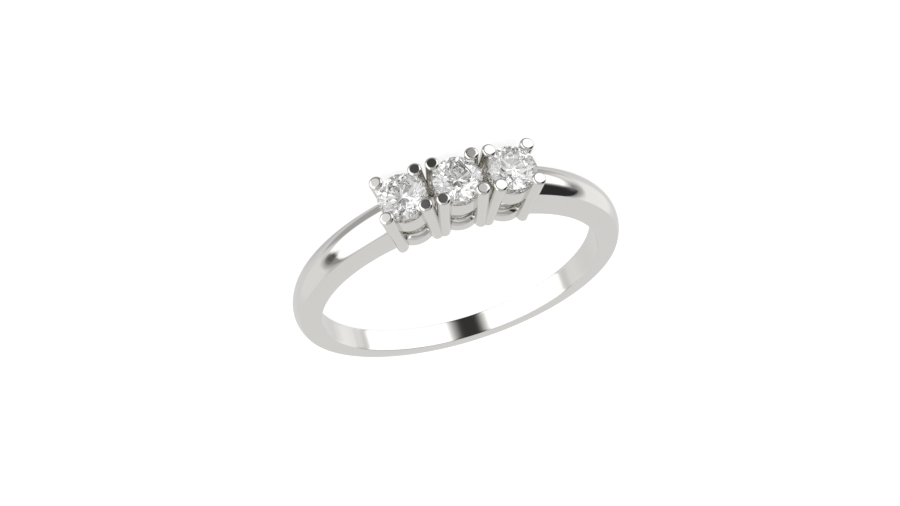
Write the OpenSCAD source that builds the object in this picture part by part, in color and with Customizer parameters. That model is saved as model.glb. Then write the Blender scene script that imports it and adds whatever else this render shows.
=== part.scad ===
// Three stone ring: a tapering domed shank that carries a row of three
// four-prong heads, each with a round brilliant cut stone.
// The ring lies on its side. The finger hole runs up and down, the heads
// point to -Y, and the ring leans on its outer heads' prongs and on the back
// of the shank. The origin is on the floor, under the middle of the outline.

/* [Finger hole and shank] */
// Inner diameter of the ring
finger_d = 17; // [15:0.25:21]
// Thickness of the shank at the middle of its back
back_t = 1.07; // [0.8:0.01:1.6]
// Thickness of the shank at its sides
side_t = 1.47; // [1.2:0.01:2]
// How much larger the radius of the shoulders is than that of the back
shoulder_flare = 1.3; // [0.5:0.1:2.5]
// Radius of the dome across the shank
dome_r = 1.33; // [1.2:0.01:2]
// Width of the shank at the front end of the finger hole
front_w = 1.88; // [1.6:0.02:2.3]
// Width of the shank at the back end of the finger hole
back_w = 1.38; // [1.1:0.02:2]

/* [Stones] */
// Diameter of each stone across its girdle
stone_d = 2.7; // [2.3:0.05:3.2]
// Diameter of the table, across its corners
table_d = 1.54; // [1.2:0.02:1.7]
// Slope of the crown's kite facets
crown_angle = 34.5; // [30:0.5:37]
// Slope of the pavilion's main facets
pavilion_angle = 40.8; // [39:0.2:43]
// Thickness of the girdle at its thickest
girdle_t = 0.08; // [0.06:0.01:0.14]
// How far the lower half facets reach from the girdle to the point
lower_half_reach = 0.77; // [0.7:0.01:0.85]
// Gap between a stone and its seat
stone_clearance = 0.03; // [0.02:0.01:0.06]

/* [Heads] */
// Gap between the girdles of neighbouring stones
stone_spacing = 0.43; // [0.33:0.02:0.79]
// Angle between the axes of neighbouring heads
fan_angle = 10.4; // [8.4:0.2:12.8]
// How much lower the outer stones sit than the centre stone
outer_drop = 0.35; // [0.2:0.01:0.5]
// Height of the centre head from the finger hole to the tips of its prongs
head_h = 4.1; // [3.7:0.05:4.8]
// Height of the tips above the middle of the girdle
tip_rise = 0.45; // [0.4:0.01:0.7]
// Diameter of a prong at its tip
prong_tip_d = 0.8; // [0.7:0.02:0.9]
// Diameter of a prong at its foot
prong_foot_d = 0.66; // [0.56:0.02:0.8]
// Radius of the rounded edge of a tip
prong_edge_r = 0.15; // [0.08:0.01:0.25]
// How far the girdle sits in each prong
prong_bite = 0.2; // [0.12:0.01:0.3]
// Slope of each prong away from the axis of its head
prong_lean = 1.5; // [0:0.1:3]

/* [Rails] */
// Width of the upper rail's metal, from inside to outside
upper_rail_t = 0.62; // [0.5:0.02:0.75]
// Width of the lower rail's metal, which has a half round top
lower_rail_t = 0.8; // [0.6:0.02:0.9]
// Distance from the axes of the prongs in to the outside of the rails
rail_inset = 0.18; // [0.1:0.01:0.25]
// Height of the upper rail
upper_rail_h = 1.12; // [0.75:0.01:1.3]
// Distance from the middle of the girdle down to the rim of the upper rail
upper_rail_drop = 0.57; // [0.4:0.01:0.7]
// Height of the lower rail's round top over the finger hole, to its centre
lower_rail_h = 0.38; // [0.2:0.02:0.6]
// How far the shoulders run into the rails
shoulder_lap = 0.1; // [0.05:0.01:0.2]

/* [Hidden] */
$fn = 96;
metal_colour = [0.79, 0.78, 0.76];
stone_colour = [0.93, 0.96, 1];
eighth_turn = 45;
half_eighth = eighth_turn / 2;
quarter_eighth = eighth_turn / 4;

// Shank, with the middle of the finger hole at the origin. Its outside is a
// half circle at the back and two wider shoulder arcs, which meet it at the
// sides without a kink.
finger_r = finger_d / 2;
back_arc_r = finger_r + side_t;
back_arc_y = back_t - side_t;
shoulder_r = back_arc_r + shoulder_flare;
half_w_mid = (front_w + back_w) / 4;
taper = (front_w - back_w) / 2 / finger_d;
outline = 2 * finger_d;

// How far metal reaches into the finger hole before the hole is cut
hole_lap = 0.9;
core_r = finger_r - hole_lap;

// Stone, with the middle of its girdle at the origin
stone_r = stone_d / 2;
table_r = table_d / 2;
girdle_z = girdle_t / 2;
table_z = girdle_z + (stone_r - table_r) * tan(crown_angle);
culet_z = -girdle_z - stone_r * tan(pavilion_angle);
star_r = (table_r * cos(half_eighth) + stone_r) / 2;
star_z = girdle_z + (stone_r - star_r * cos(half_eighth)) * tan(crown_angle);
upper_half_angle = atan((star_z - girdle_z) / (stone_r - star_r) / cos(quarter_eighth));
lower_half_r = stone_r * (1 - lower_half_reach);
lower_half_z = -girdle_z - (stone_r - lower_half_r * cos(half_eighth)) * tan(pavilion_angle);
lower_half_angle = atan((-girdle_z - lower_half_z) / (stone_r - lower_half_r) / cos(quarter_eighth));
crown_slope = atan((star_z - girdle_z) / (stone_r - star_r));
girdle_steps = 64;

// Heads, which lean apart in a row that falls to both sides
girdle_y = finger_r + head_h - tip_rise;
stone_step = stone_d + stone_spacing;
head_step = sqrt(stone_step * stone_step - outer_drop * outer_drop);
prong_ring_r = stone_r + prong_tip_d / 2 - prong_bite;
prong_len = head_h + hole_lap;
lower_rail_drop = girdle_y - finger_r - lower_rail_h;
upper_rail_r = rail_r_at(upper_rail_drop + upper_rail_h / 2);
lower_rail_r = rail_r_at(lower_rail_drop);

// Distance from a head's axis to those of its prongs at a depth below the girdle
function prong_ring_at(depth) = prong_ring_r - depth * tan(prong_lean);

// Radius of a prong's shaft at a depth below the girdle
function prong_r_at(depth) = prong_foot_d / 2 + (prong_tip_d - prong_foot_d) / 2
    * (prong_len - tip_rise - depth) / (prong_len - prong_edge_r);

// Outside radius of a rail at a depth below the girdle
function rail_r_at(depth) = prong_ring_at(depth) - rail_inset;

// Half the width of the shank at a place along Y
function half_w_at(y) = half_w_mid - taper * y;

// How far the dome has fallen at a distance from its crest
function dome_fall(across) = dome_r - sqrt(dome_r * dome_r - across * across);

// Sideways and forward places of a point of an outer head, from its distance
// outward of the head's axis and its depth below the girdle
function head_side(across, depth) = head_step + across * cos(fan_angle) - depth * sin(fan_angle);
function head_front(across, depth) =
    girdle_y - outer_drop - across * sin(fan_angle) - depth * cos(fan_angle);

// Where the ring touches the floor as it lies: on the outer prong of each outer
// head, at its foot or just under its rounded tip, and on the lower edge of the
// back
touch_across = prong_ring_at(head_h) * cos(eighth_turn);
touch_side = head_side(touch_across, 0);
touch_front = head_front(touch_across, 0);
touch_along = touch_side * sin(fan_angle) + touch_front * cos(fan_angle);
foot_depth = touch_along
    - sqrt(touch_along * touch_along - touch_side * touch_side - touch_front * touch_front + finger_r * finger_r);
edge_depth = prong_edge_r - tip_rise;
back_edge_z = half_w_at(finger_r + back_t);
back_edge_y = finger_r + back_t - dome_fall(back_edge_z);

// Angle at which the ring lies if it touches at a depth on the prong
function lie_on(across, depth) =
    atan((across + prong_r_at(depth) - back_edge_z) / (head_front(across, depth) + back_edge_y));

lie_angle = max(
    lie_on(prong_ring_at(edge_depth) * cos(eighth_turn), edge_depth),
    lie_on(prong_ring_at(foot_depth) * cos(eighth_turn), foot_depth)
);
lie_lift = back_edge_y * sin(lie_angle) + back_edge_z * cos(lie_angle);

// Front and back ends of the ring as it lies, to centre it over the origin
tip_low_z = prong_ring_at(-tip_rise) * sin(eighth_turn) + prong_tip_d / 2 - prong_edge_r;
front_end = (finger_r + head_h) * cos(lie_angle) + tip_low_z * sin(lie_angle);
back_end = (finger_r + back_t - dome_r) * cos(lie_angle) + dome_r;
lie_shift = (front_end - back_end) / 2;

// Lays a ring whose finger hole runs along Z down on its side
module lying() {
    translate([0, lie_shift, lie_lift])
        rotate([-lie_angle, 0, 0])
            children();
}

// Puts what is modelled on a head's own axis, with its girdle at the origin,
// in its place: -1, 0 and 1 are the left, centre and right head
module on_head(place) {
    translate([place * head_step, abs(place) * outer_drop - girdle_y, 0])
        rotate([0, 0, place * fan_angle])
            rotate([90, 0, 0])
                children();
}

// Section of the shank for an arc of its crest: a dome on a solid core
module shank_section(crest_r) {
    translate([crest_r - dome_r, 0])
        circle(r = dome_r);
    translate([core_r, -dome_r])
        square([crest_r - dome_r - core_r, 2 * dome_r]);
}

// Long wedge between the two sloping sides of the shank
module shank_taper() {
    rotate([90, 0, 90])
        translate([0, 0, -outline / 2])
            linear_extrude(height = outline)
                polygon([
                    [-outline, -half_w_at(-outline)],
                    [outline, -half_w_at(outline)],
                    [outline, half_w_at(outline)],
                    [-outline, half_w_at(-outline)]
                ]);
}

// What the right head takes away from its shoulder: its own round inside,
// and everything on the far side of its axis
module shoulder_end() {
    on_head(1) {
        cylinder(r = lower_rail_r - shoulder_lap, h = outline, center = true);
        translate([-outline, -outline / 2, -outline / 2])
            cube(outline);
    }
}

// Right shoulder, from the side of the ring to the outer head
module shoulder() {
    difference() {
        translate([-shoulder_flare, back_arc_y, 0])
            rotate([0, 0, -90])
                rotate_extrude(angle = 90)
                    shank_section(shoulder_r);
        shoulder_end();
    }
}

module shank() {
    intersection() {
        union() {
            translate([0, back_arc_y, 0])
                rotate_extrude(angle = 180)
                    shank_section(back_arc_r);
            shoulder();
            mirror([1, 0, 0])
                shoulder();
        }
        shank_taper();
    }
}

// Half of the section of a prong, which widens to a flat tip with a round edge
module prong_section() {
    tip_r = prong_tip_d / 2;
    flat_r = tip_r - prong_edge_r;
    shaft_len = prong_len - prong_edge_r;
    polygon([
        [0, 0],
        [prong_foot_d / 2, 0],
        [tip_r, shaft_len],
        [0, shaft_len]
    ]);
    translate([0, shaft_len])
        square([flat_r, prong_edge_r]);
    translate([flat_r, shaft_len])
        intersection() {
            circle(r = prong_edge_r);
            square(prong_edge_r);
        }
}

module prongs() {
    for (turn = [1:2:7])
        rotate([0, 0, turn * eighth_turn])
            translate([prong_ring_r, 0, 0])
                rotate([0, prong_lean, 0])
                    translate([0, 0, tip_rise - prong_len])
                        rotate_extrude()
                            prong_section();
}

module upper_rail() {
    rotate_extrude()
        translate([upper_rail_r - upper_rail_t, -upper_rail_drop - upper_rail_h])
            square([upper_rail_t, upper_rail_h]);
}

// Rail with a round top, which stands on the finger hole
module lower_rail() {
    skirt_h = lower_rail_h + hole_lap;
    rotate_extrude()
        translate([lower_rail_r - lower_rail_t / 2, -lower_rail_drop]) {
            circle(r = lower_rail_t / 2);
            translate([-lower_rail_t / 2, -skirt_h])
                square([lower_rail_t, skirt_h]);
        }
}

// Seat of a stone: the outline that the stone sweeps as it turns on its axis,
// larger all round by the clearance
module stone_seat() {
    seat_r = stone_r + stone_clearance;
    under = stone_clearance / cos(pavilion_angle);
    over = stone_clearance / cos(crown_slope);
    rotate_extrude()
        polygon([
            [0, culet_z - under],
            [seat_r, -girdle_z - under + stone_clearance * tan(pavilion_angle)],
            [seat_r, girdle_z + over - stone_clearance * tan(crown_slope)],
            [star_r, star_z + over],
            [table_r, table_z + over],
            [0, table_z + over]
        ]);
}

module shank_and_heads() {
    color(metal_colour)
        lying()
            difference() {
                union() {
                    shank();
                    for (place = [-1:1])
                        on_head(place) {
                            prongs();
                            upper_rail();
                            lower_rail();
                        }
                }
                cylinder(r = finger_r, h = outline, center = true);
                for (place = [-1:1])
                    on_head(place)
                        stone_seat();
            }
}

// Points of a ring on a stone: a count of them at one radius and height
function ring_points(count, first_turn, r, z) = [
    for (step = [0:count - 1])
        let(turn = first_turn + step * 360 / count)
            [r * cos(turn), r * sin(turn), z]
];

// How far a half facet's plane eats into the girdle at a turn around the stone
function scallop(turn, slope) =
    stone_r * (cos(turn % half_eighth - quarter_eighth) - cos(quarter_eighth)) * tan(slope);

// Scalloped edge of the girdle, above (side 1) or below (side -1)
function girdle_points(side, slope) = [
    for (step = [0:girdle_steps - 1])
        let(turn = step * 360 / girdle_steps)
            [stone_r * cos(turn), stone_r * sin(turn), side * (girdle_z - scallop(turn, slope))]
];

// Round brilliant cut stone: table, stars, kites, upper halves, girdle, lower
// halves and mains, which all lie between these corners
module stone() {
    corners = concat(
        ring_points(8, 0, table_r, table_z),
        ring_points(8, half_eighth, star_r, star_z),
        girdle_points(1, upper_half_angle),
        girdle_points(-1, lower_half_angle),
        ring_points(8, half_eighth, lower_half_r, lower_half_z),
        [[0, 0, culet_z]]
    );
    hull()
        polyhedron(points = corners, faces = [[for (corner = [0:len(corners) - 1]) corner]]);
}

module set_stone(place) {
    color(stone_colour)
        lying()
            on_head(place)
                stone();
}

module stone_left() {
    set_stone(-1);
}

module stone_centre() {
    set_stone(0);
}

module stone_right() {
    set_stone(1);
}

shank_and_heads();
stone_left();
stone_centre();
stone_right();
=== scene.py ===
import math

import bpy
from bpy.props import FloatProperty, FloatVectorProperty, IntProperty, PointerProperty
from mathutils import Matrix, Vector


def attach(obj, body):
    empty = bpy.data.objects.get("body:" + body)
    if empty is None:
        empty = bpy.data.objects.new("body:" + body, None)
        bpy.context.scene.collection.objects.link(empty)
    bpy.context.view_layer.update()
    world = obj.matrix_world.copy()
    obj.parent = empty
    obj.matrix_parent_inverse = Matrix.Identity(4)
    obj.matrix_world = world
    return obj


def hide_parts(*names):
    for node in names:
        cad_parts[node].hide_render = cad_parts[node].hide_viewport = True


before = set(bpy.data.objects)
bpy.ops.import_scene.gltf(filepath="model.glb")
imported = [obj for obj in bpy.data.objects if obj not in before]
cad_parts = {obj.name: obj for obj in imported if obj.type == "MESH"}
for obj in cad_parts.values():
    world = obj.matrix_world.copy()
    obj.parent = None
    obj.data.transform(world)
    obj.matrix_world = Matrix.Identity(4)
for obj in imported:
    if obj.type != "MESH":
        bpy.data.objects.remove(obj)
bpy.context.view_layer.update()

bl_info = {
    "name": "Three Stone Ring",
    "version": (1, 0, 0),
    "blender": (4, 5, 0),
    "location": "3D View > Sidebar > Ring",
    "description": (
        "A domed, tapering shank with a row of three four-prong heads, "
        "each with a round brilliant cut stone"
    ),
    "category": "Object",
}

PLACES = {"left": -1, "centre": 0, "right": 1}
METAL_NODE = "shank_and_heads"
STONE_NODES = ("stone_left", "stone_centre", "stone_right")

# modelling, in metres
EIGHTH_TURN = math.radians(45)
PRONG_TURNS = (1, 3, 5, 7)  # in eighths of a turn round the head
HOLE_LAP = 0.0009  # how far rails and prongs reach into the finger hole before it is cut
SEED_R = 0.0004  # size of a circle before its corners are put in their places
WELD = 2e-8  # corners nearer than this become one
SLIVER = 1e-7  # edges shorter than this are dissolved after a cut
SAME_CORNER = 1e-7
ON_SEAM = 1e-9  # slack where the back's arc meets the shoulders'
SMOOTH_ANGLE = math.radians(30)
CUTTER_LENGTH = 0.02
FAR_CUTTER = (0.003, 0.004, 0.008)  # a block that clears the shoulder's rest beyond a rail
FAR_CUTTER_DROP = 0.002

# how finely round things are divided
ACROSS_STEPS = 28
BORE_STEPS = 8
EDGE_STEPS = 5
SHOULDER_STEPS = 110
BACK_STEPS = 260
RAIL_STEPS = 160
RAIL_EDGE_STEPS = 6
RAIL_TOP_STEPS = 24
PRONG_STEPS = 72
PRONG_RINGS = 30
TIP_STEPS = 10
SEAT_STEPS = 256
BORE_CUTTER_STEPS = 720
ROUND_CUTTER_STEPS = 192
CORNER_TRIES = 6

# wear of the polished metal
HAIR_STRETCH = (1.0, 14.0, 1.0)
HAIR_TURN = (0.4, 0.9, 0.3)
HAIR_FROM, HAIR_TO = 0.60, 0.74
HAIR_DENSITY = 900.0
HAIR_DETAIL = 2.0
HAIR_NOISE = 0.55
HAIR_ROUGHNESS = 0.03
HAIR_BUMP = 0.02
HAIR_DEPTH = 0.00001
HAZE_SCALE = 350.0
HAZE_DETAIL = 3.0
HAZE_SHADE = 0.985
HAZE_POLISH = (0.7, 1.3)

# camera and floor
SENSOR_WIDTH = 36  # in millimetres, as Blender has it
MM = 1000
CLIP_START, CLIP_END = 0.001, 10
FLOOR_ROUGHNESS = 0.9

# the tent's panels as the ring sees them: azimuth from +Z towards -X and elevation towards -Y,
# in degrees
LEFT_SOFTBOX = (
    (-52, -10), (-117, -9), (-128, -3), (-138, 9), (-150, 22), (-157, 45),
    (-165, 60), (-72, 72), (-36, 36), (-31, 14), (-37, -2),
)
RIGHT_SOFTBOX = (
    (86, -4), (86, 67), (156, 78), (168, 57), (147, 22), (141, 8), (128, -1), (110, -6),
)
FRONT_OPENING = ((38, -9), (60, -14), (75, -13), (91, -11), (90, 60), (60, 56), (38, 34))
FRONT_WALL = ((-70, -22), (24, -22), (18, 16), (-60, 20))
FRONT_TOP = ((-70, 46), (-30, 40), (0, 38), (50, 48), (84, 56), (84, 68), (-75, 66))
FRONT_SLOT = ((-45, 83), (75, 72), (38, 61), (-12, 68))
TOP_OPENING = ((-80, 56), (90, 62), (142, 36), (-150, 36))
BACK_OF_TABLE = ((130, -10), (-130, -10), (-135, -50), (135, -50))
LEFT_SPILL = ((-130, -3), (-80, -6), (-50, -12), (-65, -45), (-115, -45))
FAR_TABLE = ((96, -52), (-156, -46), (-150, -86), (110, -86))
RIGHT_SPILL = ((56, -15), (88, -8), (128, -4), (124, -44), (66, -44))
LEFT_EDGE = ((-109, -9), (-109, 0), (-90, 4), (-70, 1), (-46, -7), (-50, -12))
SMUDGE = ((-107, -10), (-98, 6), (-80, 6), (-68, -10))
RIGHT_EDGE = ((78, -9), (78, 1), (105, 1), (105, -9))
LEFT_GLEAM = ((-108, -18), (-130, -18), (-130, 3), (-108, 3))
RIGHT_GLEAM = ((102, -20), (138, -20), (138, 6), (102, 6))

# from the backmost layer to the frontmost: panel, the studio brightness it has, its share of that
# brightness, and the width of its edges in soft edges
LAYERS = (
    (BACK_OF_TABLE, "table", 0.8, 2),
    (FAR_TABLE, "table", 0.55, 2),
    (LEFT_SPILL, "table", 1.1, 1),
    (RIGHT_SPILL, "table", 1.3, 1),
    (FRONT_WALL, "wall", 1.45, 1),
    (FRONT_TOP, "table", 1, 1),
    (TOP_OPENING, "dark", 1.3, 2),
    (FRONT_SLOT, "dark", 1, 0.5),
    (FRONT_OPENING, "dark", 1, 0.5),
    (RIGHT_GLEAM, "table", 1.15, 1.5),
    (LEFT_SOFTBOX, "softbox", 1, 1),
    (RIGHT_SOFTBOX, "softbox", 1, 1),
    (LEFT_EDGE, "edge", 1.3, 0.5),
    (SMUDGE, "edge", 0.5, 0.75),
    (RIGHT_EDGE, "edge", 0.8, 0.75),
    (LEFT_GLEAM, "table", 1.05, 1),
)

# the tent behind the panels, by elevation
WALL_STOPS = ((-18, "table"), (-11, "wall"), (36, "wall"))
FADE_POWER = 3


class ShankSizes(bpy.types.PropertyGroup):
    """Sizes of the finger hole and of the shank around it."""

    finger_d: FloatProperty(
        name="Finger hole",
        description="Inner diameter of the ring",
        default=0.017, unit="LENGTH",
    )
    back_t: FloatProperty(
        name="Back thickness",
        description="Thickness at the middle of the back",
        default=0.00107, unit="LENGTH",
    )
    side_t: FloatProperty(
        name="Side thickness",
        description="Thickness at the sides",
        default=0.00147, unit="LENGTH",
    )
    shoulder_flare: FloatProperty(
        name="Shoulder flare",
        description="How much larger the shoulders' radius is than the back's",
        default=0.0013, unit="LENGTH",
    )
    dome_r: FloatProperty(
        name="Dome radius",
        description="Radius of the dome across the shank",
        default=0.00133, unit="LENGTH",
    )
    front_w: FloatProperty(
        name="Front width",
        description="Width at the front end of the finger hole",
        default=0.00188, unit="LENGTH",
    )
    back_w: FloatProperty(
        name="Back width",
        description="Width at the back end of the finger hole",
        default=0.00138, unit="LENGTH",
    )
    edge_r: FloatProperty(
        name="Edge rounding",
        description="Radius that polishing leaves on the long edges",
        default=0.00003, unit="LENGTH",
    )
    shoulder_end: FloatProperty(
        name="Shoulder length",
        description="How far round its arc each shoulder runs",
        default=math.radians(76), subtype="ANGLE",
    )
    shoulder_lap: FloatProperty(
        name="Shoulder lap",
        description="How far the shoulders run into the rails",
        default=0.0001, unit="LENGTH",
    )


class HeadSizes(bpy.types.PropertyGroup):
    """Sizes of the heads and of the row they stand in."""

    stone_d: FloatProperty(
        name="Stone",
        description="Diameter of a stone across its girdle",
        default=0.0027, unit="LENGTH",
    )
    table_d: FloatProperty(
        name="Table",
        description="Diameter of a stone's table",
        default=0.00154, unit="LENGTH",
    )
    crown_angle: FloatProperty(
        name="Crown angle",
        description="Slope of the kite facets",
        default=math.radians(34.5), subtype="ANGLE",
    )
    pavilion_angle: FloatProperty(
        name="Pavilion angle",
        description="Slope of the pavilion's main facets",
        default=math.radians(40.8), subtype="ANGLE",
    )
    girdle_t: FloatProperty(
        name="Girdle",
        description="Thickness of a stone's girdle",
        default=0.00008, unit="LENGTH",
    )
    stone_spacing: FloatProperty(
        name="Stone spacing",
        description="Gap between neighbouring girdles",
        default=0.00043, unit="LENGTH",
    )
    clearance: FloatProperty(
        name="Seat clearance",
        description="Gap between a stone and its seat",
        default=0.00003, unit="LENGTH",
    )
    fan_angle: FloatProperty(
        name="Fan angle",
        description="Angle between neighbouring heads",
        default=math.radians(10.4), subtype="ANGLE",
    )
    outer_drop: FloatProperty(
        name="Outer drop",
        description="How much lower the outer stones sit",
        default=0.00035, unit="LENGTH",
    )
    head_h: FloatProperty(
        name="Head height",
        description="Height of the centre head over the finger hole",
        default=0.0041, unit="LENGTH",
    )
    tip_rise: FloatProperty(
        name="Tip rise",
        description="Height of the tips above the middle of the girdle",
        default=0.00045, unit="LENGTH",
    )
    tip_d: FloatProperty(
        name="Prong tip",
        description="Diameter of a prong at its tip",
        default=0.0008, unit="LENGTH",
    )
    foot_d: FloatProperty(
        name="Prong foot",
        description="Diameter of a prong at its foot",
        default=0.00066, unit="LENGTH",
    )
    tip_edge_r: FloatProperty(
        name="Tip edge",
        description="Radius of the rounded edge of a tip",
        default=0.00015, unit="LENGTH",
    )
    bite: FloatProperty(
        name="Prong bite",
        description="How far the girdle sits in each prong",
        default=0.0002, unit="LENGTH",
    )
    lean: FloatProperty(
        name="Prong lean",
        description="Slope of each prong away from its head's axis",
        default=math.radians(1.5), subtype="ANGLE",
    )
    upper_rail_t: FloatProperty(
        name="Upper rail metal",
        description="Width of the upper rail's metal",
        default=0.00062, unit="LENGTH",
    )
    lower_rail_t: FloatProperty(
        name="Lower rail metal",
        description="Width of the lower rail's metal",
        default=0.0008, unit="LENGTH",
    )
    rail_inset: FloatProperty(
        name="Rail inset",
        description="Distance from the prongs' axes in to the rails",
        default=0.00018, unit="LENGTH",
    )
    upper_rail_h: FloatProperty(
        name="Upper rail height",
        description="Height of the upper rail",
        default=0.00112, unit="LENGTH",
    )
    upper_rail_drop: FloatProperty(
        name="Upper rail drop",
        description="Depth of the upper rail's rim below the girdle",
        default=0.00057, unit="LENGTH",
    )
    lower_rail_h: FloatProperty(
        name="Lower rail height",
        description="Height of the lower rail's round top over the finger hole",
        default=0.00038, unit="LENGTH",
    )
    rail_edge_r: FloatProperty(
        name="Rail edge",
        description="Rounding of the upper rail's edges",
        default=0.00003, unit="LENGTH",
    )


class RestSizes(bpy.types.PropertyGroup):
    """How the ring lies on its side."""

    lie_angle: FloatProperty(
        name="Lying angle",
        description="Lean of the finger hole from upright",
        default=math.radians(2.298124), subtype="ANGLE",
    )
    lie_shift: FloatProperty(
        name="Lying shift",
        description="Place of the finger hole's middle along Y",
        default=0.0015404, unit="LENGTH",
    )
    lie_lift: FloatProperty(
        name="Lying height",
        description="Height of the finger hole's middle over the floor",
        default=0.00105011, unit="LENGTH",
    )


class Finish(bpy.types.PropertyGroup):
    """Colours and polish of the metal and the stones."""

    metal: FloatVectorProperty(
        name="White gold",
        description="Colour of the polished metal",
        default=(0.80, 0.79, 0.765), size=3, min=0, max=1, subtype="COLOR",
    )
    polish: FloatProperty(
        name="Polish",
        description="Roughness of the polished metal",
        default=0.035, min=0, max=1,
    )
    stone: FloatVectorProperty(
        name="Stone",
        description="Body colour of the stones",
        default=(1.0, 1.0, 1.0), size=3, min=0, max=1, subtype="COLOR",
    )
    stone_index: FloatProperty(
        name="Refractive index",
        description="How strongly the stones bend light",
        default=2.417, min=1, max=3,
    )


class Studio(bpy.types.PropertyGroup):
    """The camera, the floor and the light around the ring."""

    lens: FloatProperty(
        name="Lens",
        description="Focal length of the camera",
        default=0.076591, unit="CAMERA",
    )
    azimuth: FloatProperty(
        name="Camera azimuth",
        description="Turn of the camera from -Y towards +X",
        default=math.radians(7.5325), subtype="ANGLE",
    )
    elevation: FloatProperty(
        name="Camera elevation",
        description="Height of the camera above the horizon",
        default=math.radians(26.544), subtype="ANGLE",
    )
    roll: FloatProperty(
        name="Camera roll",
        description="Turn of the camera about its own line of sight",
        default=math.radians(161.8046), subtype="ANGLE",
    )
    distance: FloatProperty(
        name="Camera distance",
        description="Distance from the camera to what it aims at",
        default=0.112127, unit="LENGTH",
    )
    aim: FloatVectorProperty(
        name="Aim",
        description="The point the camera aims at",
        default=(0.00028522, -0.00042284, 0.00058600), size=3, subtype="TRANSLATION",
    )
    floor: FloatVectorProperty(
        name="Floor",
        description="Colour of the floor",
        default=(0.5, 0.5, 0.5), size=3, min=0, max=1, subtype="COLOR",
    )
    floor_side: FloatProperty(
        name="Floor size",
        description="Length of the floor's sides",
        default=1.2, unit="LENGTH",
    )
    floor_glow: FloatProperty(
        name="Floor light",
        description="Light that the floor gives off by itself",
        default=0.82, min=0,
    )
    softbox: FloatProperty(
        name="Softboxes",
        description="Brightness of the two softboxes",
        default=1.4, min=0,
    )
    table: FloatProperty(
        name="Table",
        description="Brightness of the white table behind the ring",
        default=0.76, min=0,
    )
    edge: FloatProperty(
        name="Table's edge",
        description="Brightness of the shaded strips under the softboxes",
        default=0.25, min=0,
    )
    wall: FloatProperty(
        name="Walls",
        description="Brightness of the tent between the softboxes",
        default=0.42, min=0,
    )
    dark: FloatProperty(
        name="Openings",
        description="Brightness of the tent's dark openings",
        default=0.03, min=0,
    )
    bounces: IntProperty(
        name="Bounces",
        description="How often light is followed on through the stones",
        default=20, min=4, max=64,
    )
    sparkle: FloatProperty(
        name="Sparkle",
        description="Share of plain bright light in what shines out of the stones, for each face it passes",
        default=0.02, min=0, max=1,
    )
    soft_edge: FloatProperty(
        name="Soft edges",
        description="Half width of the fade at the edges of the softboxes",
        default=math.radians(8), subtype="ANGLE",
    )


def sizes():
    scene = bpy.context.scene
    return scene.ring_shank, scene.ring_head


def deselect():
    if bpy.context.object and bpy.context.object.mode != "OBJECT":
        bpy.ops.object.mode_set(mode="OBJECT")
    bpy.ops.object.select_all(action="DESELECT")


def pick(*objects):
    """Selects only these objects and makes the first one active."""
    deselect()
    for piece in objects:
        piece.select_set(True)
    bpy.context.view_layer.objects.active = objects[0]


def named(name):
    piece = bpy.context.object
    piece.name = name
    piece.data.name = name
    return piece


def lying():
    """Lays what is modelled around the finger hole down on its side."""
    rest = bpy.context.scene.ring_rest
    return Matrix.Translation((0, rest.lie_shift, rest.lie_lift)) @ Matrix.Rotation(-rest.lie_angle, 4, "X")


def girdle_y():
    shank, head = sizes()
    return shank.finger_d / 2 + head.head_h - head.tip_rise


def on_head(place):
    """From a head's own axes, with its girdle at the origin, to its place around the finger hole."""
    _, head = sizes()
    step = head.stone_d + head.stone_spacing
    side = math.sqrt(step**2 - head.outer_drop**2)
    return (
        Matrix.Translation((place * side, abs(place) * head.outer_drop - girdle_y(), 0))
        @ Matrix.Rotation(place * head.fan_angle, 4, "Z")
        @ Matrix.Rotation(math.radians(90), 4, "X")
    )


def facing(azimuth, elevation):
    """A direction from the ring, by its turn from +Z towards -X and its height towards -Y."""
    flat = math.cos(elevation)
    return Vector((-math.sin(azimuth) * flat, -math.sin(elevation), math.cos(azimuth) * flat))


def settle(piece, matrix):
    """Moves a piece and puts its place in its mesh."""
    pick(piece)
    piece.matrix_world = matrix
    bpy.ops.object.transform_apply(location=True, rotation=True, scale=True)


def prong_ring_at(depth):
    """Distance from a head's axis to its prongs at a depth below the girdle."""
    _, head = sizes()
    return (head.stone_d + head.tip_d) / 2 - head.bite - depth * math.tan(head.lean)


def lower_rail_at():
    """Depth of the lower rail's round top below the girdle, and its radius."""
    shank, head = sizes()
    depth = girdle_y() - shank.finger_d / 2 - head.lower_rail_h
    return depth, prong_ring_at(depth) - head.rail_inset


def twin(pattern, name):
    """A copy with a mesh of its own."""
    piece = pattern.copy()
    piece.data = pattern.data.copy()
    bpy.context.collection.objects.link(piece)
    piece.name = name
    piece.data.name = name
    return piece


def bend(first, knee, last, part):
    """A point on a rounded corner."""
    return first * (1 - part) ** 2 + knee * 2 * part * (1 - part) + last * part**2


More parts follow.
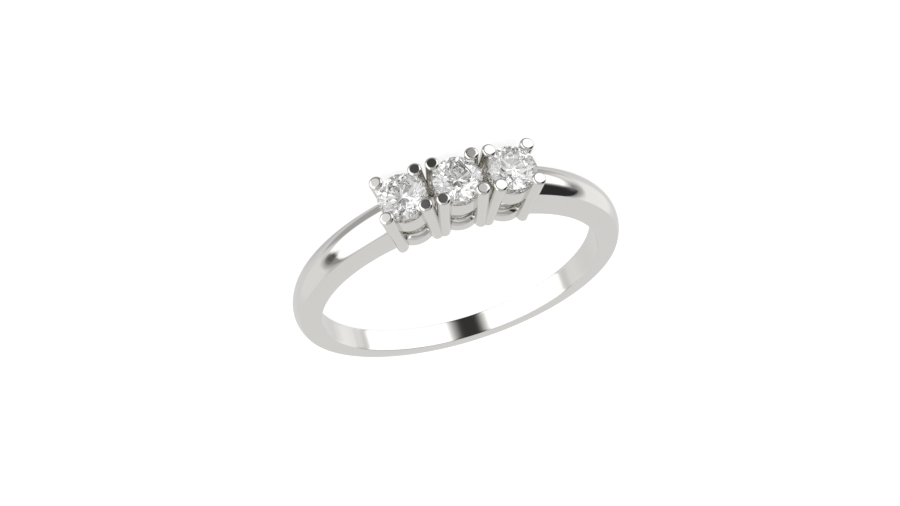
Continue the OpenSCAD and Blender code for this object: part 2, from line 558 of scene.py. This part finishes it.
def turned(name, corners, rounded, steps):
    """Turns a closed outline of (radius, height) corners about the Z axis, with the named corners rounded."""
    deselect()
    bpy.ops.mesh.primitive_circle_add(vertices=len(corners), radius=SEED_R, fill_type="NOTHING")
    piece = named(name)
    for vertex, (radius, height) in zip(piece.data.vertices, corners):
        vertex.co = (radius, 0, height)
    for corner, radius in rounded:
        bpy.ops.object.mode_set(mode="EDIT")
        bpy.ops.mesh.select_all(action="DESELECT")
        bpy.ops.object.mode_set(mode="OBJECT")
        for vertex in piece.data.vertices:
            vertex.select = (vertex.co - Vector((corner[0], 0, corner[1]))).length < SAME_CORNER
        bpy.ops.object.mode_set(mode="EDIT")
        bpy.ops.mesh.bevel(
            offset_type="OFFSET", offset=radius, segments=RAIL_EDGE_STEPS, profile=0.5,
            affect="VERTICES", clamp_overlap=False,
        )
    if not rounded:
        bpy.ops.object.mode_set(mode="EDIT")
    bpy.ops.mesh.select_all(action="SELECT")
    bpy.ops.mesh.spin(
        steps=steps, angle=math.radians(360), center=(0, 0, 0), axis=(0, 0, 1), use_auto_merge=True
    )
    bpy.ops.mesh.select_all(action="SELECT")
    bpy.ops.mesh.remove_doubles(threshold=WELD)
    bpy.ops.mesh.normals_make_consistent(inside=False)
    bpy.ops.object.mode_set(mode="OBJECT")
    return piece


def cut(piece, *cutters):
    """Cuts the cutters out of a piece."""
    for cutter in cutters:
        pick(piece)
        tool = piece.modifiers.new("Cut", "BOOLEAN")
        tool.operation = "DIFFERENCE"
        tool.solver = "EXACT"
        tool.use_self = False
        tool.object = cutter
        bpy.ops.object.modifier_apply(modifier=tool.name)
    # a cut leaves slivers finer than a file of the mesh can hold
    bpy.ops.object.mode_set(mode="EDIT")
    bpy.ops.mesh.select_all(action="SELECT")
    bpy.ops.mesh.dissolve_degenerate(threshold=SLIVER)
    bpy.ops.object.mode_set(mode="OBJECT")
    return piece


def discard(*pieces):
    pick(*pieces)
    bpy.ops.object.delete()


def polish(piece):
    """Smooths the round faces of a piece and leaves its edges crisp."""
    pick(piece)
    bpy.ops.object.shade_smooth_by_angle(angle=SMOOTH_ANGLE)


def finger_cutter():
    """A cylinder that fills the finger hole."""
    shank, _ = sizes()
    deselect()
    bpy.ops.mesh.primitive_cylinder_add(
        vertices=BORE_CUTTER_STEPS, radius=shank.finger_d / 2, depth=CUTTER_LENGTH, location=(0, 0, 0)
    )
    return named("finger_cutter")


def hand_over(piece, material):
    """Finishes a metal piece: its material, its place in the frame and what it stands for."""
    piece.data.materials.clear()
    piece.data.materials.append(material)
    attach(piece, "root")
    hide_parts(METAL_NODE)


def wear_group():
    """Fine wear of a polished surface: a mask of thin hairlines and a soft cloudiness."""
    group = bpy.data.node_groups.get("fine wear")
    if group:
        return group
    group = bpy.data.node_groups.new("fine wear", "ShaderNodeTree")
    for name, value in (("Density", HAIR_DENSITY), ("Haze Scale", HAZE_SCALE)):
        socket = group.interface.new_socket(name, in_out="INPUT", socket_type="NodeSocketFloat")
        socket.default_value = value
    for name in ("Hairlines", "Haze"):
        group.interface.new_socket(name, in_out="OUTPUT", socket_type="NodeSocketFloat")
    nodes, links = group.nodes, group.links
    entry = nodes.new("NodeGroupInput")
    leave = nodes.new("NodeGroupOutput")
    place = nodes.new("ShaderNodeTexCoord")
    stretch = nodes.new("ShaderNodeMapping")
    stretch.inputs["Scale"].default_value = HAIR_STRETCH
    stretch.inputs["Rotation"].default_value = HAIR_TURN
    hair = nodes.new("ShaderNodeTexNoise")
    hair.inputs["Detail"].default_value = HAIR_DETAIL
    hair.inputs["Roughness"].default_value = HAIR_NOISE
    edge = nodes.new("ShaderNodeMapRange")
    edge.interpolation_type = "SMOOTHSTEP"
    edge.inputs["From Min"].default_value = HAIR_FROM
    edge.inputs["From Max"].default_value = HAIR_TO
    haze = nodes.new("ShaderNodeTexNoise")
    haze.inputs["Detail"].default_value = HAZE_DETAIL
    links.new(place.outputs["Object"], stretch.inputs["Vector"])
    links.new(stretch.outputs["Vector"], hair.inputs["Vector"])
    links.new(entry.outputs["Density"], hair.inputs["Scale"])
    links.new(hair.outputs["Fac"], edge.inputs["Value"])
    links.new(place.outputs["Object"], haze.inputs["Vector"])
    links.new(entry.outputs["Haze Scale"], haze.inputs["Scale"])
    links.new(edge.outputs["Result"], leave.inputs["Hairlines"])
    links.new(haze.outputs["Fac"], leave.inputs["Haze"])
    return group


def white_gold():
    """Mirror polished white gold with the faintest wear."""
    material = bpy.data.materials.get("white gold")
    if material:
        return material
    look = bpy.context.scene.ring_finish
    material = bpy.data.materials.new("white gold")
    material.use_nodes = True
    nodes, links = material.node_tree.nodes, material.node_tree.links
    shader = nodes["Principled BSDF"]
    shader.inputs["Metallic"].default_value = 1.0
    wear = nodes.new("ShaderNodeGroup")
    wear.node_tree = wear_group()
    tint = nodes.new("ShaderNodeMix")
    tint.data_type = "RGBA"
    tint.inputs["A"].default_value = (*look.metal, 1)
    tint.inputs["B"].default_value = (*[channel * HAZE_SHADE for channel in look.metal], 1)
    links.new(wear.outputs["Haze"], tint.inputs["Factor"])
    links.new(tint.outputs["Result"], shader.inputs["Base Color"])
    rough = nodes.new("ShaderNodeMapRange")
    for end, share in zip(("To Min", "To Max"), HAZE_POLISH):
        rough.inputs[end].default_value = look.polish * share
    links.new(wear.outputs["Haze"], rough.inputs["Value"])
    scratch = nodes.new("ShaderNodeMath")
    scratch.operation = "MULTIPLY_ADD"
    scratch.inputs[1].default_value = HAIR_ROUGHNESS
    links.new(wear.outputs["Hairlines"], scratch.inputs[0])
    links.new(rough.outputs["Result"], scratch.inputs[2])
    links.new(scratch.outputs[0], shader.inputs["Roughness"])
    bump = nodes.new("ShaderNodeBump")
    bump.inputs["Strength"].default_value = HAIR_BUMP
    bump.inputs["Distance"].default_value = HAIR_DEPTH
    links.new(wear.outputs["Hairlines"], bump.inputs["Height"])
    links.new(bump.outputs["Normal"], shader.inputs["Normal"])
    return material


def cut_stone():
    """Clear cut stone."""
    look = bpy.context.scene.ring_finish
    material = bpy.data.materials.new("cut stone")
    material.use_nodes = True
    shader = material.node_tree.nodes["Principled BSDF"]
    shader.inputs["Base Color"].default_value = (*look.stone, 1)
    shader.inputs["Roughness"].default_value = 0.0
    shader.inputs["Metallic"].default_value = 0.0
    shader.inputs["IOR"].default_value = look.stone_index
    shader.inputs["Transmission Weight"].default_value = 1.0
    return material


class RING_OT_shank(bpy.types.Operator):
    """Spins the shank's section round its back and shoulders and brings its sides to their taper"""

    bl_idname = "ring.shank"
    bl_label = "Shank"

    def execute(self, context):
        shank, _ = sizes()
        finger_r = shank.finger_d / 2
        back_arc_r = finger_r + shank.side_t
        back_arc_y = shank.back_t - shank.side_t
        half_mid = (shank.front_w + shank.back_w) / 4
        taper = (shank.front_w - shank.back_w) / 2 / shank.finger_d

        section = self.section()
        deselect()
        bpy.ops.mesh.primitive_circle_add(
            vertices=len(section), radius=SEED_R, fill_type="NGON", location=(0, 0, 0)
        )
        piece = named("shank")
        mark = piece.data.attributes.new("section_point", "INT", "POINT")
        start = -shank.shoulder_end
        centre = Vector((-shank.shoulder_flare, back_arc_y, 0))
        spoke = Vector((math.cos(start), math.sin(start), 0))
        reach = back_arc_r + shank.shoulder_flare
        for index, vertex in enumerate(piece.data.vertices):
            turn = 2 * math.pi * index / len(section)
            mark.data[index].value = index
            out, across = SEED_R * math.cos(turn), SEED_R * math.sin(turn)
            vertex.co = centre + spoke * (reach + out) + Vector((0, 0, across))
        for middle, angle, steps in (
            (centre, shank.shoulder_end, SHOULDER_STEPS),
            (Vector((0, back_arc_y, 0)), math.pi, BACK_STEPS),
            (Vector((shank.shoulder_flare, back_arc_y, 0)), shank.shoulder_end, SHOULDER_STEPS),
        ):
            bpy.ops.object.mode_set(mode="EDIT")
            bpy.ops.mesh.spin(steps=steps, angle=angle, center=middle, axis=(0, 0, -1))
            bpy.ops.object.mode_set(mode="OBJECT")

        marks = piece.data.attributes["section_point"].data
        for vertex in piece.data.vertices:
            kind, part = section[marks[vertex.index].value]
            place = vertex.co
            if place.y > back_arc_y + ON_SEAM:
                middle, crest_r = Vector((0, back_arc_y, 0)), back_arc_r
            else:
                side = 1 if place.x > 0 else -1
                middle, crest_r = Vector((-side * shank.shoulder_flare, back_arc_y, 0)), reach
            out = Vector((place.x - middle.x, place.y - middle.y, 0)).normalized()
            # where the spoke leaves the finger hole
            along = middle.dot(out)
            bore_at = -along + math.sqrt(along**2 - middle.length_squared + finger_r**2)
            vertex.co = self.point(kind, part, middle, out, crest_r, bore_at, half_mid, taper, shank)
        bpy.ops.object.mode_set(mode="EDIT")
        bpy.ops.mesh.select_all(action="SELECT")
        bpy.ops.mesh.normals_make_consistent(inside=False)
        bpy.ops.object.mode_set(mode="OBJECT")

        # shoulder ends follow the outer heads' rails
        for place in (-1, 1):
            radius = lower_rail_at()[1] - shank.shoulder_lap
            deselect()
            bpy.ops.mesh.primitive_cylinder_add(
                vertices=ROUND_CUTTER_STEPS, radius=radius, depth=CUTTER_LENGTH
            )
            round_cutter = named("round_cutter")
            settle(round_cutter, on_head(place))
            cut(piece, round_cutter)
            deselect()
            bpy.ops.mesh.primitive_cube_add(size=1, scale=FAR_CUTTER)
            far_cutter = named("far_cutter")
            bpy.ops.object.transform_apply(location=True, rotation=True, scale=True)
            inward = Matrix.Translation((-place * FAR_CUTTER[0] / 2, 0, -FAR_CUTTER_DROP))
            settle(far_cutter, on_head(place) @ inward)
            cut(piece, far_cutter)
            discard(round_cutter, far_cutter)
        settle(piece, lying())
        polish(piece)
        hand_over(piece, white_gold())
        return {"FINISHED"}

    def section(self):
        """The section as an outline of layers and fractions: across the dome and bore, or along a side."""
        parts = [step / EDGE_STEPS for step in range(1, EDGE_STEPS)]
        back = parts[::-1]
        outline = [("dome", step / ACROSS_STEPS * 2 - 1) for step in range(ACROSS_STEPS + 1)]
        outline += [("edge", part) for part in parts]
        outline += [("side", part) for part in (1.0, 0.5, 0.0)]
        outline += [("lip", part) for part in parts]
        outline += [("bore", 1 - step / BORE_STEPS * 2) for step in range(BORE_STEPS + 1)]
        outline += [("far lip", part) for part in back]
        outline += [("far side", part) for part in (0.0, 0.5, 1.0)]
        outline += [("far edge", part) for part in back]
        return outline

    def point(self, kind, part, middle, out, crest_r, bore_at, half_mid, taper, shank):
        """One point of the section on a spoke from the middle of its arc."""

        def half_at(radius):
            return half_mid - taper * (middle + out * radius).y

        def dome_at(across):
            return crest_r - shank.dome_r + math.sqrt(shank.dome_r**2 - across**2)

        # the corner between the dome and the side
        corner = crest_r
        for _ in range(CORNER_TRIES):
            corner = dome_at(half_at(corner))
        width = half_at(corner)
        soft = shank.edge_r
        flip = -1 if kind.startswith("far") else 1
        kind = kind.replace("far ", "")
        if kind == "dome":
            across = part * (width - soft)
            return middle + out * dome_at(across) + Vector((0, 0, across))
        if kind == "edge":
            first = Vector((dome_at(width - soft), width - soft))
            last = Vector((corner - soft, half_at(corner - soft)))
            knee = Vector((corner, width))
            spot = bend(first, knee, last, part)
            return middle + out * spot.x + Vector((0, 0, flip * spot.y))
        if kind == "side":
            low, high = bore_at + soft, corner - soft
            radius = low + (high - low) * part
            return middle + out * radius + Vector((0, 0, flip * half_at(radius)))
        if kind == "lip":
            first = Vector((bore_at + soft, half_at(bore_at + soft)))
            knee = Vector((bore_at, half_at(bore_at)))
            last = Vector((bore_at, half_at(bore_at) - soft))
            spot = bend(first, knee, last, part)
            return middle + out * spot.x + Vector((0, 0, flip * spot.y))
        across = part * (half_at(bore_at) - soft)
        return middle + out * bore_at + Vector((0, 0, across))


class RING_OT_rails(bpy.types.Operator):
    """Turns the upper and the lower rail of each head"""

    bl_idname = "ring.rails"
    bl_label = "Rails"

    def execute(self, context):
        _, head = sizes()
        upper_r = prong_ring_at(head.upper_rail_drop + head.upper_rail_h / 2) - head.rail_inset
        low_drop, lower_r = lower_rail_at()
        stone_r = head.stone_d / 2
        under = head.clearance / math.cos(head.pavilion_angle)
        slope = math.tan(head.pavilion_angle)

        def seat_depth(radius):
            return head.girdle_t / 2 + (stone_r - radius) * slope + under

        rim = -head.upper_rail_drop
        foot = rim - head.upper_rail_h
        inner = upper_r - head.upper_rail_t
        seat_r = stone_r + (under + head.girdle_t / 2 + rim) / slope
        outline = [
            (upper_r, foot), (upper_r, rim), (seat_r, rim), (inner, -seat_depth(inner)), (inner, foot),
        ]
        rounded = [(outline[0], head.rail_edge_r), (outline[1], head.rail_edge_r)]
        upper = turned("upper_rail", outline, rounded, RAIL_STEPS)

        top_r = head.lower_rail_t / 2
        middle = lower_r - top_r
        skirt = -low_drop - head.lower_rail_h - HOLE_LAP
        outline = [(middle + top_r, skirt)]
        for step in range(RAIL_TOP_STEPS + 1):
            turn = math.pi * step / RAIL_TOP_STEPS
            outline.append((middle + top_r * math.cos(turn), -low_drop + top_r * math.sin(turn)))
        outline.append((middle - top_r, skirt))
        lower = turned("lower_rail", outline, (), RAIL_STEPS)

        cutter = finger_cutter()
        for side, place in PLACES.items():
            for pattern in (upper, lower):
                piece = twin(pattern, f"{pattern.name}_{side}")
                settle(piece, on_head(place))
                if pattern is lower:
                    cut(piece, cutter)
                settle(piece, lying())
                polish(piece)
                hand_over(piece, white_gold())
        discard(upper, lower, cutter)
        return {"FINISHED"}


class RING_OT_prongs(bpy.types.Operator):
    """Shapes one prong, sets four in each head and notches them for the stone"""

    bl_idname = "ring.prongs"
    bl_label = "Prongs"

    def execute(self, context):
        _, head = sizes()
        length = head.head_h + HOLE_LAP
        tip_r, foot_r, soft = head.tip_d / 2, head.foot_d / 2, head.tip_edge_r
        outline = [(0, 0)]
        shaft = length - soft
        for step in range(PRONG_RINGS + 1):
            outline.append((foot_r + (tip_r - foot_r) * step / PRONG_RINGS, shaft * step / PRONG_RINGS))
        for step in range(1, TIP_STEPS + 1):
            turn = math.pi / 2 * step / TIP_STEPS
            outline.append((tip_r - soft + soft * math.cos(turn), shaft + soft * math.sin(turn)))
        # one more ring just inside the flat keeps it flat under smooth shading
        outline.append((tip_r - soft - soft / TIP_STEPS, length))
        outline.append((0, length))
        prong = turned("prong", outline, (), PRONG_STEPS)

        stone_r = head.stone_d / 2
        girdle = head.girdle_t / 2
        culet = girdle + stone_r * math.tan(head.pavilion_angle)
        table_r = head.table_d / 2
        table = girdle + (stone_r - table_r) * math.tan(head.crown_angle)
        half_eighth = EIGHTH_TURN / 2
        star_r = (table_r * math.cos(half_eighth) + stone_r) / 2
        star = girdle + (stone_r - star_r * math.cos(half_eighth)) * math.tan(head.crown_angle)
        crown = math.atan((star - girdle) / (stone_r - star_r))
        under = head.clearance / math.cos(head.pavilion_angle)
        over = head.clearance / math.cos(crown)
        seat_r = stone_r + head.clearance
        outline = [
            (0, -culet - under),
            (seat_r, -girdle - under + head.clearance * math.tan(head.pavilion_angle)),
            (seat_r, girdle + over - head.clearance * math.tan(crown)),
            (star_r, star + over),
            (table_r, table + over),
            (0, table + over),
        ]
        seat = turned("seat", outline, (), SEAT_STEPS)
        cutter = finger_cutter()

        for side, place in PLACES.items():
            four = []
            for turn in PRONG_TURNS:
                piece = twin(prong, f"prong_{side}_{turn}")
                lean = (
                    Matrix.Rotation(turn * EIGHTH_TURN, 4, "Z")
                    @ Matrix.Translation((prong_ring_at(0), 0, 0))
                    @ Matrix.Rotation(head.lean, 4, "Y")
                    @ Matrix.Translation((0, 0, head.tip_rise - length))
                )
                settle(piece, on_head(place) @ lean)
                four.append(piece)
            pick(*four)
            bpy.ops.object.join()
            piece = named(f"prongs_{side}")
            notch = twin(seat, f"seat_{side}")
            settle(notch, on_head(place))
            cut(piece, cutter, notch)
            discard(notch)
            settle(piece, lying())
            polish(piece)
            hand_over(piece, white_gold())
        discard(prong, seat, cutter)
        return {"FINISHED"}


class RING_OT_stones(bpy.types.Operator):
    """Gives the three stones their clear material"""

    bl_idname = "ring.stones"
    bl_label = "Stones"

    def execute(self, context):
        material = cut_stone()
        for name in STONE_NODES:
            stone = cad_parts[name]
            for slot in stone.material_slots:
                slot.material = material
        return {"FINISHED"}


class RING_OT_stage(bpy.types.Operator):
    """Lays the floor, lights the ring and sets up the camera"""

    bl_idname = "ring.stage"
    bl_label = "Stage"

    def execute(self, context):
        studio = context.scene.ring_studio
        self.camera(studio)
        self.floor(studio)
        self.light(studio)
        return {"FINISHED"}

    def camera(self, studio):
        aim = Vector(studio.aim)
        flat = math.cos(studio.elevation)
        back = Vector((
            math.sin(studio.azimuth) * flat,
            -math.cos(studio.azimuth) * flat,
            math.sin(studio.elevation),
        ))
        view = -back
        level = view.cross(Vector((0, 0, 1))).normalized()
        upright = level.cross(view)
        right = level * math.cos(studio.roll) + upright * math.sin(studio.roll)
        up = right.cross(view)
        data = bpy.data.cameras.new("camera")
        data.lens = studio.lens * MM
        data.sensor_width = SENSOR_WIDTH
        data.clip_start = CLIP_START
        data.clip_end = CLIP_END
        camera = bpy.data.objects.new("camera", data)
        bpy.context.collection.objects.link(camera)
        turn = Matrix((right, up, back)).transposed().to_4x4()
        camera.matrix_world = Matrix.Translation(aim + back * studio.distance) @ turn
        bpy.context.scene.camera = camera

    def floor(self, studio):
        deselect()
        bpy.ops.mesh.primitive_plane_add(size=studio.floor_side, location=(0, 0, 0))
        floor = named("floor")
        material = bpy.data.materials.new("pale floor")
        material.use_nodes = True
        shader = material.node_tree.nodes["Principled BSDF"]
        shader.inputs["Base Color"].default_value = (*studio.floor, 1)
        shader.inputs["Roughness"].default_value = FLOOR_ROUGHNESS
        shader.inputs["Specular IOR Level"].default_value = 0.0
        shader.inputs["Emission Color"].default_value = (1, 1, 1, 1)
        shader.inputs["Emission Strength"].default_value = studio.floor_glow
        floor.data.materials.append(material)
        # the tent is reflected in the ring, and the floor isn't
        floor.visible_glossy = False
        floor.visible_transmission = False

    def light(self, studio):
        """A white tent with two softboxes and dark openings, as layers that depend on direction alone."""
        world = bpy.data.worlds.new("studio")
        world.use_nodes = True
        nodes, links = world.node_tree.nodes, world.node_tree.links
        direction = nodes.new("ShaderNodeTexCoord").outputs["Generated"]
        parts = nodes.new("ShaderNodeSeparateXYZ")
        links.new(direction, parts.inputs[0])
        # from 0 straight behind the ring to 1 straight in front of it
        height = nodes.new("ShaderNodeMath")
        height.operation = "MULTIPLY_ADD"
        height.inputs[1].default_value = -0.5
        height.inputs[2].default_value = 0.5
        links.new(parts.outputs["Y"], height.inputs[0])
        walls = nodes.new("ShaderNodeValToRGB")
        walls.color_ramp.interpolation = "EASE"
        walls.color_ramp.elements.remove(walls.color_ramp.elements[1])
        walls.color_ramp.elements[0].position = 0
        walls.color_ramp.elements[0].color = (*[studio.table] * 3, 1)
        for elevation, name in WALL_STOPS:
            light = getattr(studio, name)
            stop = walls.color_ramp.elements.new(0.5 + 0.5 * math.sin(math.radians(elevation)))
            stop.color = (light, light, light, 1)
        links.new(height.outputs[0], walls.inputs["Fac"])
        layer = walls.outputs["Color"]
        for corners, name, share, softness in LAYERS:
            light = getattr(studio, name) * share
            soft = studio.soft_edge * softness
            mix = nodes.new("ShaderNodeMix")
            mix.data_type = "RGBA"
            mix.inputs["B"].default_value = (light, light, light, 1)
            links.new(layer, mix.inputs["A"])
            links.new(self.panel(nodes, links, direction, corners, soft), mix.inputs["Factor"])
            layer = mix.outputs["Result"]
        # light that comes out through a stone is stronger, and whatever the camera sees past the
        # floor is plain white
        seen = nodes.new("ShaderNodeLightPath")
        through = nodes.new("ShaderNodeMath")
        through.operation = "MULTIPLY"
        through.use_clamp = True
        through.inputs[1].default_value = studio.sparkle
        links.new(seen.outputs["Transmission Depth"], through.inputs[0])
        for factor, light in (
            (through.outputs[0], studio.softbox),
            (seen.outputs["Is Camera Ray"], 1.0),
        ):
            mix = nodes.new("ShaderNodeMix")
            mix.data_type = "RGBA"
            mix.inputs["B"].default_value = (light, light, light, 1)
            links.new(factor, mix.inputs["Factor"])
            links.new(layer, mix.inputs["A"])
            layer = mix.outputs["Result"]
        links.new(layer, nodes["Background"].inputs["Color"])
        bpy.context.scene.world = world
        bpy.context.scene.view_settings.view_transform = "Standard"
        # light goes to and fro inside a cut stone many times
        cycles = bpy.context.scene.cycles
        cycles.max_bounces = cycles.glossy_bounces = cycles.transmission_bounces = studio.bounces

    def panel(self, nodes, links, direction, corners, soft):
        """A mask of the directions inside a panel, with soft edges."""
        points = [facing(math.radians(turn), math.radians(rise)) for turn, rise in corners]
        middle = sum(points, Vector())
        mask = None
        for first, last in zip(points, points[1:] + points[:1]):
            inward = first.cross(last).normalized()
            if inward.dot(middle) < 0:
                inward = -inward
            dot = nodes.new("ShaderNodeVectorMath")
            dot.operation = "DOT_PRODUCT"
            dot.inputs[1].default_value = inward
            links.new(direction, dot.inputs[0])
            edge = nodes.new("ShaderNodeMapRange")
            edge.inputs["From Min"].default_value = -math.sin(soft)
            edge.inputs["From Max"].default_value = math.sin(soft)
            links.new(dot.outputs["Value"], edge.inputs["Value"])
            fade = nodes.new("ShaderNodeMath")
            fade.operation = "POWER"
            fade.inputs[1].default_value = FADE_POWER
            links.new(edge.outputs["Result"], fade.inputs[0])
            if mask is None:
                mask = fade.outputs[0]
                continue
            both = nodes.new("ShaderNodeMath")
            both.operation = "MULTIPLY"
            links.new(mask, both.inputs[0])
            links.new(fade.outputs[0], both.inputs[1])
            mask = both.outputs[0]
        return mask


OPERATORS = (RING_OT_shank, RING_OT_rails, RING_OT_prongs, RING_OT_stones, RING_OT_stage)


class RING_PT_panel(bpy.types.Panel):
    """The ring's sizes, finishes and making steps"""

    bl_idname = "RING_PT_panel"
    bl_label = "Three Stone Ring"
    bl_space_type = "VIEW_3D"
    bl_region_type = "UI"
    bl_category = "Ring"

    def draw(self, context):
        scene = context.scene
        for name in GROUPS:
            group = getattr(scene, name)
            box = self.layout.box()
            for size in group.__annotations__:
                box.prop(group, size)
        for operator in OPERATORS:
            self.layout.operator(operator.bl_idname)


GROUPS = {
    "ring_shank": ShankSizes,
    "ring_head": HeadSizes,
    "ring_rest": RestSizes,
    "ring_finish": Finish,
    "ring_studio": Studio,
}


def register():
    for group in GROUPS.values():
        bpy.utils.register_class(group)
    for operator in (*OPERATORS, RING_PT_panel):
        bpy.utils.register_class(operator)
    for name, group in GROUPS.items():
        setattr(bpy.types.Scene, name, PointerProperty(type=group))


def unregister():
    for name in GROUPS:
        delattr(bpy.types.Scene, name)
    for operator in (RING_PT_panel, *reversed(OPERATORS)):
        bpy.utils.unregister_class(operator)
    for group in reversed(GROUPS.values()):
        bpy.utils.unregister_class(group)


def main():
    register()
    bpy.ops.ring.shank()
    bpy.ops.ring.rails()
    bpy.ops.ring.prongs()
    bpy.ops.ring.stones()
    bpy.ops.ring.stage()


if __name__ == "__main__":
    main()
